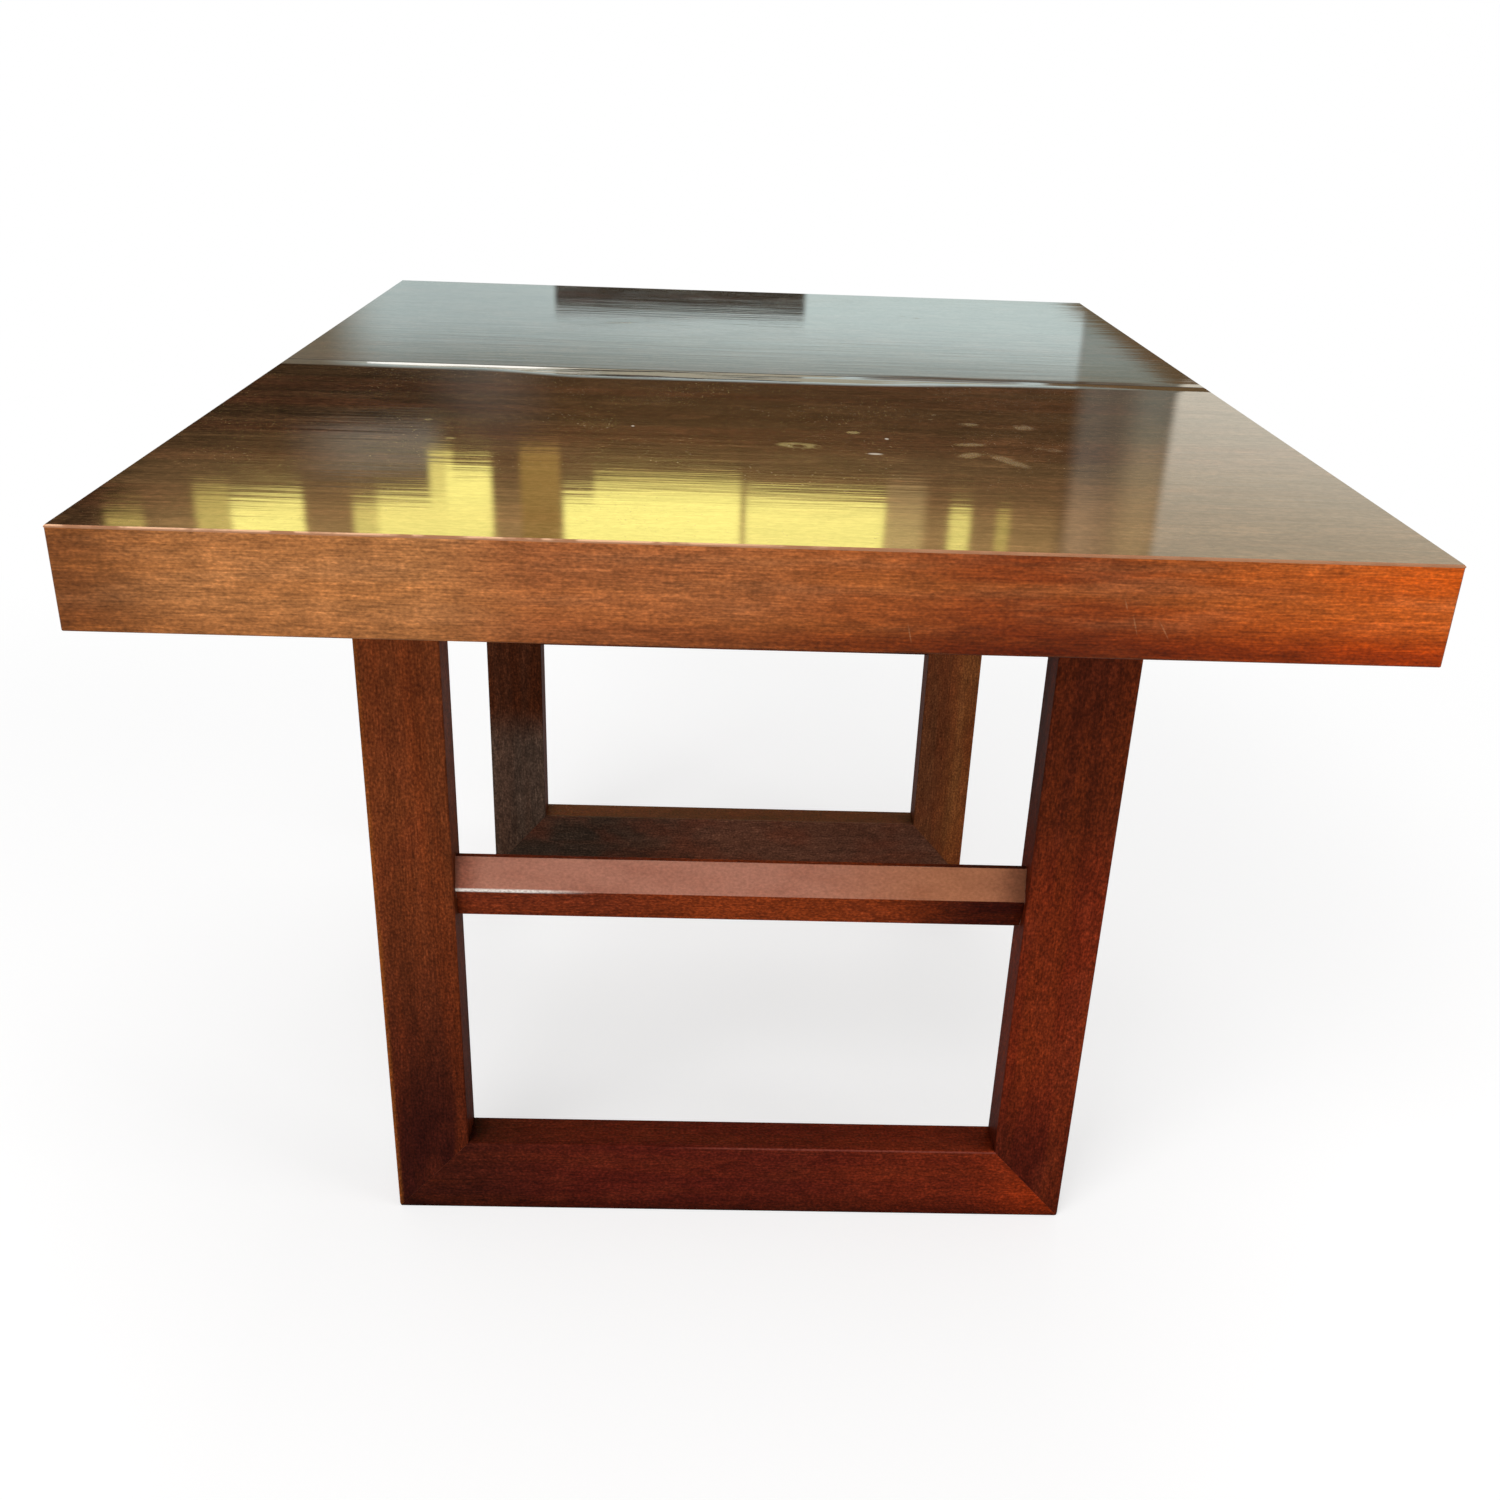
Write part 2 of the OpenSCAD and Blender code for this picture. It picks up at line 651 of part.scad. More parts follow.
// Front half
face_veneer();  // front_face_veneer
front_panel();
end_apron();  // front_end_apron
left_apron();  // front_left_apron
right_apron();  // front_right_apron
corner_blocks();  // front_corner_blocks
glue_blocks();  // front_glue_blocks
left_leg();  // front_left_leg
right_leg();  // front_right_leg
foot_rail();  // front_foot_rail
mitre_splines();  // front_mitre_splines
stretcher();  // front_stretcher
top_rail();  // front_top_rail
left_cleat();  // front_left_cleat
right_cleat();  // front_right_cleat
cleat_screws();  // front_cleat_screws
leg_bolts();  // front_leg_bolts
leg_nuts();  // front_leg_nuts
mirror([1, 0, 0]) front_right_runner();  // front_left_runner
front_right_runner();
front_runner_screws();
front_stop_pins();
joint_dowels();

// Carriage between the halves
mirror([1, 0, 0]) right_middle_runner();  // left_middle_runner
right_middle_runner();
slide_cross_rail();
cross_rail_screws();

// Rear half
as_rear() face_veneer();  // rear_face_veneer
rear_panel();
as_rear() end_apron();  // rear_end_apron
as_rear() left_apron();  // rear_left_apron
as_rear() right_apron();  // rear_right_apron
as_rear() corner_blocks();  // rear_corner_blocks
as_rear() glue_blocks();  // rear_glue_blocks
as_rear() left_leg();  // rear_left_leg
as_rear() right_leg();  // rear_right_leg
as_rear() foot_rail();  // rear_foot_rail
as_rear() mitre_splines();  // rear_mitre_splines
as_rear() stretcher();  // rear_stretcher
as_rear() top_rail();  // rear_top_rail
as_rear() left_cleat();  // rear_left_cleat
as_rear() right_cleat();  // rear_right_cleat
as_rear() cleat_screws();  // rear_cleat_screws
as_rear() leg_bolts();  // rear_leg_bolts
as_rear() leg_nuts();  // rear_leg_nuts
mirror([1, 0, 0]) rear_right_runner();  // rear_left_runner
rear_right_runner();
rear_runner_screws();
rear_stop_pins();

// Catches
catch_plates();
catch_rivets();
plate_screws(catch_screw_rows);  // catch_screws
mirror([1, 0, 0]) right_catch_lever();  // left_catch_lever
right_catch_lever();
keepers();
plate_screws(keeper_screw_rows);  // keeper_screws
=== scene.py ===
import math

import bpy
from mathutils import Matrix, Vector

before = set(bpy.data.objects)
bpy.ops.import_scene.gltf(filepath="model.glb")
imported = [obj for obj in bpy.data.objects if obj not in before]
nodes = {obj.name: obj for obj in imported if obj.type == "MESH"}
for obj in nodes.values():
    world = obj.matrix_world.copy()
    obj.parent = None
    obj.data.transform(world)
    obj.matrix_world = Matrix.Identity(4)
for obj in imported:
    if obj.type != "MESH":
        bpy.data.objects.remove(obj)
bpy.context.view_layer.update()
halves = ("front", "rear")
white = (1.0, 1.0, 1.0, 1.0)


# Photo viewpoint, in metres and degrees; focal length and centre in pixels of the square photo
photoCamera = {
    "place": (-0.0344, -1.5784, 1.0443),
    "turn": 1.915,
    "tilt": -25.892,
    "roll": 2.192,
    "focal": 1518.3,
    "centre": (751.9, 800.0),
    "photo": 1500,
    "sensor": 36.0,
}


def makeCamera(view):
    turn, tilt, roll = (math.radians(view[angle]) for angle in ("turn", "tilt", "roll"))
    ahead = Vector((math.sin(turn) * math.cos(tilt), math.cos(turn) * math.cos(tilt), math.sin(tilt)))
    level = Vector((math.cos(turn), -math.sin(turn), 0))
    above = level.cross(ahead)
    right = level * math.cos(roll) + above * math.sin(roll)
    up = above * math.cos(roll) - level * math.sin(roll)
    size = view["photo"]
    data = bpy.data.cameras.new("photoCamera")
    data.sensor_width = view["sensor"]
    data.lens = view["focal"] / size * view["sensor"]
    data.shift_x = (size / 2 - view["centre"][0]) / size
    data.shift_y = (view["centre"][1] - size / 2) / size
    camera = bpy.data.objects.new("photoCamera", data)
    axes = Matrix((right, up, -ahead)).transposed().to_4x4()
    camera.matrix_world = Matrix.Translation(view["place"]) @ axes
    bpy.context.scene.collection.objects.link(camera)
    bpy.context.scene.camera = camera


makeCamera(photoCamera)
print("camera placed")


# Node helpers

def addNode(tree, kind, feeds=None, **settings):
    made = tree.nodes.new("ShaderNode" + kind)
    for key, value in settings.items():
        setattr(made, key, value)
    for name, value in (feeds or {}).items():
        socket = made.inputs[name]
        if isinstance(value, bpy.types.NodeSocket):
            tree.links.new(value, socket)
        else:
            socket.default_value = value
    return made


def maths(tree, operation, a, b=0.0, c=0.0):
    return addNode(tree, "Math", {0: a, 1: b, 2: c}, operation=operation).outputs[0]


def product(tree, first, *others):
    for other in others:
        first = maths(tree, "MULTIPLY", first, other)
    return first


def ease(tree, value, low, high, toLow=0.0, toHigh=1.0):
    feeds = {"Value": value, "From Min": low, "From Max": high, "To Min": toLow, "To Max": toHigh}
    return addNode(tree, "MapRange", feeds, interpolation_type="SMOOTHSTEP").outputs[0]


def mixColour(tree, factor, a, b, blend="MIX"):
    # inputs 6 and 7 and output 2 are the node's colours
    feeds = {0: factor, 6: a, 7: b}
    return addNode(tree, "Mix", feeds, data_type="RGBA", blend_type=blend).outputs[2]


def scaled(tree, colour, factor):
    return addNode(tree, "VectorMath", {0: colour, "Scale": factor}, operation="SCALE").outputs[0]


def swing(tree, value, amount):
    # noise round 0.5 to a gain round 0
    return product(tree, maths(tree, "SUBTRACT", value, 0.5), amount)


def linear(code):
    # web colour to linear light
    parts = [int(code[i:i + 2], 16) / 255 for i in (1, 3, 5)]
    return tuple(c / 12.92 if c <= 0.04045 else ((c + 0.055) / 1.055) ** 2.4 for c in parts) + (1.0,)


def newFinish(name):
    finish = bpy.data.materials.new(name)
    finish.use_nodes = True
    tree = finish.node_tree
    return finish, tree, tree.nodes["Principled BSDF"]


def placeOf(tree):
    # object coordinates, the same as the table's own metres
    return addNode(tree, "TexCoord").outputs["Object"]


def axisOf(tree, vector, axis):
    return addNode(tree, "SeparateXYZ", {0: vector}).outputs[axis]


def geometry(tree, part):
    return addNode(tree, "NewGeometry").outputs[part]


def grainSpace(tree, along, offset):
    # place turned so that X runs along the grain
    turns = {"X": (0, 0, 0), "Y": (0, 0, -math.pi / 2), "Z": (0, math.pi / 2, 0)}
    feeds = {"Vector": placeOf(tree), "Rotation": turns[along], "Location": offset}
    return addNode(tree, "Mapping", feeds).outputs[0]


def grainNoise(tree, space, pitch, detail=3.0, distortion=0.0):
    # pitch: length along the grain and width across it, in metres
    feeds = {"Vector": space, "Scale": (1 / pitch[0], 1 / pitch[1], 1 / pitch[1])}
    stretched = addNode(tree, "Mapping", feeds).outputs[0]
    feeds = {"Vector": stretched, "Scale": 1.0, "Detail": detail, "Distortion": distortion}
    return addNode(tree, "TexNoise", feeds).outputs["Fac"]


def evenNoise(tree, place, perMetre, detail):
    # noise of the same size every way
    feeds = {"Vector": place, "Scale": perMetre, "Detail": detail}
    return addNode(tree, "TexNoise", feeds).outputs["Fac"]


def roundedNormal(tree, radius):
    return addNode(tree, "Bevel", {"Radius": radius}, samples=4).outputs[0]


def edgeMask(tree, radius, low=0.02, high=0.2):
    # 1 on edges and corners, 0 on flats
    feeds = {0: roundedNormal(tree, radius), 1: geometry(tree, "Normal")}
    likeness = addNode(tree, "VectorMath", feeds, operation="DOT_PRODUCT").outputs["Value"]
    return ease(tree, maths(tree, "SUBTRACT", 1.0, likeness), low, high)


def blendAlong(tree, axis, start, end):
    # 0 at start and 1 at end, in metres along X, Y or Z
    along = axisOf(tree, placeOf(tree), axis)
    return ease(tree, along, start, end) if start < end else ease(tree, along, end, start, 1.0, 0.0)


def spot(tree, place, mark, core=0.35):
    # soft oval: centre, length and width in metres, turn in degrees
    x, y, length, width, turn = mark
    feeds = {"Vector": place, "Location": (x, y, 0), "Rotation": (0, 0, math.radians(turn)),
             "Scale": (length / 2, width / 2, 1)}
    local = addNode(tree, "Mapping", feeds, vector_type="TEXTURE").outputs[0]
    flat = addNode(tree, "VectorMath", {0: local, 1: (1, 1, 0)}, operation="MULTIPLY").outputs[0]
    reach = addNode(tree, "VectorMath", {0: flat}, operation="LENGTH").outputs["Value"]
    return ease(tree, reach, core, 1.0, 1.0, 0.0)


def upright(tree):
    # X and Z as a flat place, for marks on the end faces
    parts = addNode(tree, "SeparateXYZ", {0: placeOf(tree)}).outputs
    return addNode(tree, "CombineXYZ", {"X": parts["X"], "Y": parts["Z"]}).outputs[0]


# Woods. Grain is given as length and width in metres, then strength. A Cut is the range of a noise
# over which its mark comes in
woodDefaults = {
    "along": "X",
    "base": "#93532b",
    "tones": (),
    "warm": "#a8642e",
    "warmth": 0.30,
    "warmPatch": (0.30, 0.024),
    "warmCut": (0.42, 0.66),
    "band": (0.60, 0.022, 1.0),
    "mottle": (0.022, 0.0060, 1.8),
    "speck": (0.0034, 0.0018, 2.3),
    "speckCut": (0.35, 0.60),
    "fibre": (0.026, 0.0013, 2.1),
    "pore": (0.006, 0.0009, 0.20),
    "poreCut": (0.58, 0.70),
    "streak": (0.10, 0.0018, 0.22),
    "streakCut": (0.60, 0.74),
    "haze": (0.12, 0.018, 0.12),
    "hazeCut": (0.45, 0.70),
    "hazeTone": "#b08058",
    "shade": None,
    # painted shade: the next amount darkens corners and nooks that ambient occlusion finds
    "paintedNookShade": 0.0,
    "nook": 0.045,
    "nookCut": (0.35, 0.85),
    "scratches": (),
    "scratchShow": (0.10, 0.35),
    "ridge": None,
    "ridgeCore": 0.3,
    "ridgeShow": (0.6, 1.0),
    "paintedSheen": None,
    "rough": 0.38,
    "fibreRough": 0.12,
    "wornRough": 0.20,
    "coat": 0.05,
    "coatRough": 0.15,
    "specular": 0.12,
    "bump": 0.00010,
    "fibreLift": 0.6,
    "poreSink": 0.8,
    "wear": 0.5,
    "wearPatch": (0.035, 0.012),
    "wearCut": (0.42, 0.62),
    "wearColour": "#b9814c",
    "edge": 0.0012,
}


def pieceOffset(name):
    # each piece is cut from its own place in the wood
    seed = sum(ord(letter) for letter in name)
    return seed * 0.37 % 7, seed * 0.61 % 5, seed * 0.23 % 3


def woodTint(tree, space, look):
    # base tone, the tones along the piece, warmer and hazy patches, and shade towards the bottom
    tint = linear(look["base"])
    for axis, start, end, tone in look["tones"]:
        tint = mixColour(tree, blendAlong(tree, axis, start, end), tint, linear(tone))
    warmth = grainNoise(tree, space, look["warmPatch"])
    warmth = ease(tree, warmth, *look["warmCut"], 0.0, look["warmth"])
    tint = mixColour(tree, warmth, tint, linear(look["warm"]))
    haze = grainNoise(tree, space, look["haze"][:2], detail=4.0)
    haze = ease(tree, haze, *look["hazeCut"], 0.0, look["haze"][2])
    tint = mixColour(tree, haze, tint, linear(look["hazeTone"]))
    shade = look["shade"]
    if shade:
        share = blendAlong(tree, "X", *shade["side"])
        share = maths(tree, "MULTIPLY_ADD", share, 1.0 - shade["least"], shade["least"])
        share = product(tree, blendAlong(tree, "Z", *shade["height"]), share)
        tint = mixColour(tree, share, tint, linear(shade["tone"]), "MULTIPLY")
    return tint


def woodGain(tree, grain, pore, streak, look):
    # light and dark of the grain as powers of 2, with pores and streaks darker
    depth = 0.0
    for part, value in grain.items():
        depth = maths(tree, "ADD", depth, swing(tree, value, look[part][2]))
    dark = maths(tree, "MAXIMUM", product(tree, pore, look["pore"][2]),
                 product(tree, streak, look["streak"][2]))
    return product(tree, maths(tree, "POWER", 2.0, depth), maths(tree, "SUBTRACT", 1.0, dark))


def scratchMask(tree, speck, look):
    scratch = 0.0
    for mark in look["scratches"]:
        scratch = maths(tree, "MAXIMUM", scratch, spot(tree, upright(tree), mark))
    return product(tree, scratch, ease(tree, speck, *look["speckCut"], *look["scratchShow"]))


def paintedSheenMask(tree, space, paintedSheen):
    # painted sheen: sloping upper face painted paler, less at its two ends
    lift = axisOf(tree, geometry(tree, "True Normal"), "Z")
    sloping = product(tree, ease(tree, lift, *paintedSheen["slopeFrom"]), ease(tree, lift, *paintedSheen["slopeTo"], 1.0, 0.0))
    off = maths(tree, "ABSOLUTE", axisOf(tree, placeOf(tree), "X"))
    ends = ease(tree, off, *paintedSheen["ends"], 1.0, paintedSheen["endShare"])
    cloud = ease(tree, grainNoise(tree, space, paintedSheen["cloud"]), *paintedSheen["cloudCut"], *paintedSheen["share"])
    return product(tree, sloping, ends, cloud)


def paintedSheenTone(tree, speck, paintedSheen):
    tone = mixColour(tree, blendAlong(tree, "X", *paintedSheen["turn"]), linear(paintedSheen["tone"]), linear(paintedSheen["farTone"]))
    return scaled(tree, tone, maths(tree, "ADD", 1.0, swing(tree, speck, paintedSheen["grain"])))


def ridgeLine(tree, speck, look):
    # painted highlight: a pale line along an arris, over part of its length
    ridge = look["ridge"]
    off = maths(tree, "SUBTRACT", axisOf(tree, placeOf(tree), "Z"), ridge["height"])
    core = ridge["width"] * look["ridgeCore"]
    line = ease(tree, maths(tree, "ABSOLUTE", off), core, ridge["width"], 1.0, 0.0)
    broken = ease(tree, speck, *look["speckCut"], *look["ridgeShow"])
    return product(tree, line, blendAlong(tree, "X", *ridge["fade"]), broken)


def woodFinish(name, look):
    look = {**woodDefaults, **look}
    finish, tree, shader = newFinish(name)
    space = grainSpace(tree, look["along"], pieceOffset(name))
    grain = {
        "band": grainNoise(tree, space, look["band"][:2], distortion=0.6),
        "mottle": grainNoise(tree, space, look["mottle"][:2], distortion=0.4),
        "speck": grainNoise(tree, space, look["speck"][:2], detail=2.0),
        "fibre": grainNoise(tree, space, look["fibre"][:2], detail=4.0),
    }
    pore = ease(tree, grainNoise(tree, space, look["pore"][:2], detail=1.0), *look["poreCut"])
    streak = grainNoise(tree, space, look["streak"][:2], detail=2.0, distortion=0.3)
    streak = ease(tree, streak, *look["streakCut"])

    colour = scaled(tree, woodTint(tree, space, look), woodGain(tree, grain, pore, streak, look))
    if look["scratches"]:
        colour = mixColour(tree, scratchMask(tree, grain["speck"], look), colour, linear(look["hazeTone"]))
    # painted shade: darken the colour where ambient occlusion finds corners and nooks close by
    if look["paintedNookShade"]:
        nook = addNode(tree, "AmbientOcclusion", {"Distance": look["nook"]}, samples=6).outputs["AO"]
        nook = ease(tree, nook, *look["nookCut"], look["paintedNookShade"], 0.0)
        colour = scaled(tree, colour, maths(tree, "SUBTRACT", 1.0, nook))
    # painted sheen: paler, pinker colour on sloping upper faces
    if look["paintedSheen"]:
        paintedSheen = look["paintedSheen"]
        colour = mixColour(tree, paintedSheenMask(tree, space, paintedSheen), colour, paintedSheenTone(tree, grain["speck"], paintedSheen))
    patch = ease(tree, grainNoise(tree, space, look["wearPatch"], detail=4.0), *look["wearCut"])
    worn = product(tree, edgeMask(tree, look["edge"]), patch, look["wear"])
    colour = mixColour(tree, worn, colour, linear(look["wearColour"]))
    # painted highlight: a pale line along an arris
    if look["ridge"]:
        line = ridgeLine(tree, grain["speck"], look)
        colour = mixColour(tree, line, colour, linear(look["ridge"]["tone"]))
    tree.links.new(colour, shader.inputs["Base Color"])

    rough = maths(tree, "ADD", look["rough"], swing(tree, grain["fibre"], look["fibreRough"]))
    rough = maths(tree, "ADD", rough, product(tree, worn, look["wornRough"]))
    tree.links.new(rough, shader.inputs["Roughness"])
    shader.inputs["Coat Weight"].default_value = look["coat"]
    shader.inputs["Coat Roughness"].default_value = look["coatRough"]
    shader.inputs["Specular IOR Level"].default_value = look["specular"]

    height = product(tree, grain["fibre"], look["fibreLift"])
    height = maths(tree, "SUBTRACT", height, product(tree, pore, look["poreSink"]))
    feeds = {"Height": height, "Distance": look["bump"], "Strength": 1.0,
             "Normal": roundedNormal(tree, look["edge"])}
    tree.links.new(addNode(tree, "Bump", feeds).outputs[0], shader.inputs["Normal"])
    return finish


def dress(names, finish):
    for name in names:
        piece = nodes[name]
        piece.data.materials.clear()
        piece.data.materials.append(finish)


def dressWoods(half, looks, shared):
    # one wood for each piece of a half, such as frontLeftLeg on front_left_leg
    for part, look in looks.items():
        name = half + part.title().replace("_", "")
        dress([half + "_" + part], woodFinish(name, {**shared, **look}))


# Top: two lacquered veneers. Noises without a length and width are in patches per metre, marks are as
# in spot, and heights are above the floor
topLook = {
    "brown": "#533a24",
    "red": "#573521",
    "redPatch": (0.50, 0.060),
    "redCut": (0.40, 0.66),
    "band": (0.90, 0.030, 1.6),
    "fibre": (0.060, 0.0024, 2.5),
    "figure": (0.040, 0.018, 2.6),
    "speck": (0.0050, 0.0032, 3.8),
    "pore": (0.012, 0.0011, 0.5),
    "poreCut": (0.58, 0.72),
    "scuff": 0.24,
    "scuffTone": "#b08c66",
    "scuffRough": 0.25,
    "crumble": 70.0,
    "crumbleCut": (0.30, 0.62),
    "dust": 420.0,
    "dustCut": (0.68, 0.76),
    "dusty": 9.0,
    "dustyCut": (0.38, 0.60),
    "chipTone": "#f0e6d4",
    "sideCut": (0.80, 0.95),
    "sideRough": 0.3,
    "edgePaleGlint": "#e2ae86",
    "lipHeight": (0.7587, 0.7595),
    "lipAlong": (0.10, -0.10),
    "lipPatch": (0.022, 0.020),
    "lipCut": (0.40, 0.58),
    "lipLeast": 0.10,
    "jointDark": "#2a1d14",
    "jointReach": (0.010, 0.014),
    "gloss": (0.045, 0.075),
    "cloud": 14.0,
    "cloudCut": (0.45, 0.75),
    "coat": 1.0,
    "coatRough": 0.04,
    "polish": {"figure": (0.40, 0.62, 0.94), "fibre": (0.36, 0.60, 0.92), "speck": (0.36, 0.62, 0.88)},
    "swell": (0.30, 0.045),
    "ripple": (0.14, 0.011),
    "bump": 0.000045,
}
# The halves don't lie quite level. The front one sags a little, and it falls away in a strip along the
# joint, most at a dip on the left and least at the lip on the right. Sag and leans are slopes along Y,
# the strip and lip are spans of Y, and wider is what the strip gains over the middle
frontLook = {
    **topLook,
    "offset": (1.3, 5.2, 0.4),
    "edgeDark": "#a06a44",
    "lipMost": 1.0,
    "smears": ((0.036, -0.318, 0.048, 0.026, -8), (0.178, -0.334, 0.044, 0.022, 41),
               (0.205, -0.351, 0.070, 0.020, -61), (0.192, -0.216, 0.028, 0.018, 0),
               (0.240, -0.222, 0.024, 0.032, 5), (0.181, -0.296, 0.038, 0.016, 10),
               (0.246, -0.306, 0.032, 0.018, -20), (0.085, -0.262, 0.016, 0.014, 0),
               (0.163, -0.187, 0.038, 0.006, 75), (-0.250, -0.330, 0.012, 0.008, 0),
               (-0.280, -0.262, 0.010, 0.008, 0)),
    "chips": ((0.097, -0.340, 0.016, 0.008, 0), (0.112, -0.283, 0.005, 0.008, 0),
              (-0.105, -0.263, 0.004, 0.006, 0)),
    "fall": {"sag": 0.026, "lean": 0.058, "strip": (-0.0360, -0.0108),
             "wider": 0.022, "widerFrom": (-0.28, -0.16), "widerTo": (0.30, 0.08),
             "lip": (-0.0170, -0.0102), "lipFrom": (0.08, 0.14), "lipTo": (0.31, 0.25), "lipMost": 0.75,
             "dip": 0.012, "dipAt": -0.285, "dipReach": (0.0375, 0.1250),
             "warp": (0.16, 0.009, 0.06), "dulled": 0.32},
}
# The rear half is rounded over at its lip, most on the right
rearLook = {
    **topLook,
    "offset": (3.1, 1.7, 0.4),
    "edgeDark": "#7a4424",
    "lipMost": 0.3,
    "smears": ((-0.15, 0.30, 0.050, 0.010, 15), (0.21, 0.42, 0.040, 0.012, -30)),
    "chips": (),
    "rounding": {"lean": 0.018, "span": (0.009, 0.018), "along": (0.04, 0.20)},
}


def scuffMask(tree, place, look):
    # rubbed marks broken up by noise, and specks of dust
    scuff = 0.0
    for mark in look["smears"]:
        scuff = maths(tree, "MAXIMUM", scuff, spot(tree, place, mark))
    crumble = evenNoise(tree, place, look["crumble"], detail=4.0)
    scuff = product(tree, scuff, ease(tree, crumble, *look["crumbleCut"]))
    dust = ease(tree, evenNoise(tree, place, look["dust"], detail=1.0), *look["dustCut"])
    dusty = ease(tree, evenNoise(tree, place, look["dusty"], detail=2.0), *look["dustyCut"])
    return maths(tree, "MAXIMUM", scuff, product(tree, dust, dusty))


def veneerEdge(tree, space, across, look):
    # the veneer's own edge: its lip pale outside, partly rubbed wear and partly a painted highlight that
    # grows towards the left, dark in the joint
    lip = product(tree, blendAlong(tree, "Z", *look["lipHeight"]), blendAlong(tree, "X", *look["lipAlong"]))
    wornGlint = grainNoise(tree, space, look["lipPatch"], detail=5.0)
    wornGlint = ease(tree, wornGlint, *look["lipCut"], 0.0, look["lipMost"])
    wornGlint = product(tree, wornGlint, maths(tree, "ADD", lip, look["lipLeast"]))
    tone = mixColour(tree, wornGlint, linear(look["edgeDark"]), linear(look["edgePaleGlint"]))
    nearJoint = ease(tree, maths(tree, "ABSOLUTE", across), *look["jointReach"], 1.0, 0.0)
    return mixColour(tree, nearJoint, tone, linear(look["jointDark"]))


def fallStrip(tree, across, fall):
    # 1 where the front half falls away along the joint
    wide = product(tree, blendAlong(tree, "X", *fall["widerFrom"]), blendAlong(tree, "X", *fall["widerTo"]))
    strip = maths(tree, "MULTIPLY_ADD", wide, fall["wider"], across)
    strip = ease(tree, strip, *fall["strip"])
    lip = product(tree, blendAlong(tree, "X", *fall["lipFrom"]), blendAlong(tree, "X", *fall["lipTo"]),
                  ease(tree, across, *fall["lip"]))
    return product(tree, strip, maths(tree, "MULTIPLY_ADD", lip, -fall["lipMost"], 1.0))


def fallLean(tree, space, place, strip, fall):
    # slope of the front half, a little uneven in the strip
    off = maths(tree, "SUBTRACT", axisOf(tree, place, "X"), fall["dipAt"])
    off = maths(tree, "ABSOLUTE", off)
    lean = ease(tree, off, *fall["dipReach"], fall["lean"] + fall["dip"], fall["lean"])
    warp = grainNoise(tree, space, fall["warp"][:2])
    lean = maths(tree, "ADD", lean, swing(tree, warp, fall["warp"][2]))
    return maths(tree, "SUBTRACT", product(tree, strip, lean), fall["sag"])


def roundedLean(tree, across, rounding):
    lean = ease(tree, across, *rounding["span"], -rounding["lean"], 0.0)
    return product(tree, lean, blendAlong(tree, "X", *rounding["along"]))


def leanedNormal(tree, lean):
    lean = addNode(tree, "CombineXYZ", {"Y": lean}).outputs[0]
    feeds = {0: geometry(tree, "Normal"), 1: lean}
    leaned = addNode(tree, "VectorMath", feeds, operation="ADD").outputs[0]
    return addNode(tree, "VectorMath", {0: leaned}, operation="NORMALIZE").outputs[0]


def lacquerFinish(name, look):
    finish, tree, shader = newFinish(name)
    space = grainSpace(tree, "X", look["offset"])
    place = placeOf(tree)
    across = axisOf(tree, place, "Y")
    grain = {
        "band": grainNoise(tree, space, look["band"][:2], detail=4.0, distortion=0.5),
        "fibre": grainNoise(tree, space, look["fibre"][:2], detail=4.0),
        "figure": grainNoise(tree, space, look["figure"][:2], detail=4.0),
        "speck": grainNoise(tree, space, look["speck"][:2], detail=3.0),
    }
    depth = 0.0
    for part, value in grain.items():
        depth = maths(tree, "ADD", depth, swing(tree, value, look[part][2]))
    pore = ease(tree, grainNoise(tree, space, look["pore"][:2], detail=1.0), *look["poreCut"])
    depth = maths(tree, "SUBTRACT", depth, product(tree, pore, look["pore"][2]))
    red = ease(tree, grainNoise(tree, space, look["redPatch"]), *look["redCut"])
    tint = mixColour(tree, red, linear(look["brown"]), linear(look["red"]))
    colour = scaled(tree, tint, maths(tree, "POWER", 2.0, depth))

    scuff = scuffMask(tree, place, look)
    colour = mixColour(tree, product(tree, scuff, look["scuff"]), colour, linear(look["scuffTone"]))
    for mark in look["chips"]:
        colour = mixColour(tree, spot(tree, place, mark), colour, linear(look["chipTone"]))
    lift = axisOf(tree, geometry(tree, "True Normal"), "Z")
    side = maths(tree, "SUBTRACT", 1.0, ease(tree, lift, *look["sideCut"]))
    colour = mixColour(tree, side, colour, veneerEdge(tree, space, across, look))
    tree.links.new(colour, shader.inputs["Base Color"])

    if "fall" in look:
        strip = fallStrip(tree, across, look["fall"])
        lean = fallLean(tree, space, place, strip, look["fall"])
        coat = maths(tree, "MULTIPLY_ADD", strip, -look["fall"]["dulled"], look["coat"])
    else:
        lean = roundedLean(tree, across, look["rounding"])
        coat = look["coat"]

    cloud = evenNoise(tree, place, look["cloud"], detail=5.0)
    rough = ease(tree, cloud, *look["cloudCut"], *look["gloss"])
    rough = maths(tree, "ADD", rough, product(tree, side, look["sideRough"]))
    rough = maths(tree, "ADD", rough, product(tree, scuff, look["scuffRough"]))
    tree.links.new(rough, shader.inputs["Roughness"])
    polish = [ease(tree, grain[part], low, high, least, 1.0)
              for part, (low, high, least) in look["polish"].items()]
    tree.links.new(product(tree, *polish, coat), shader.inputs["Coat Weight"])
    shader.inputs["Coat Roughness"].default_value = look["coatRough"]

    swell = grainNoise(tree, space, look["swell"], detail=2.0)
    height = maths(tree, "ADD", swell, grainNoise(tree, space, look["ripple"]))
    feeds = {"Height": height, "Distance": look["bump"], "Strength": 1.0,
             "Normal": leanedNormal(tree, lean)}
    surface = addNode(tree, "Bump", feeds).outputs[0]
    tree.links.new(surface, shader.inputs["Normal"])
    tree.links.new(surface, shader.inputs["Coat Normal"])
    return finish


dress(["front_face_veneer"], lacquerFinish("frontLacquer", frontLook))
dress(["rear_face_veneer"], lacquerFinish("rearLacquer", rearLook))
print("lacquer on both halves of the top")


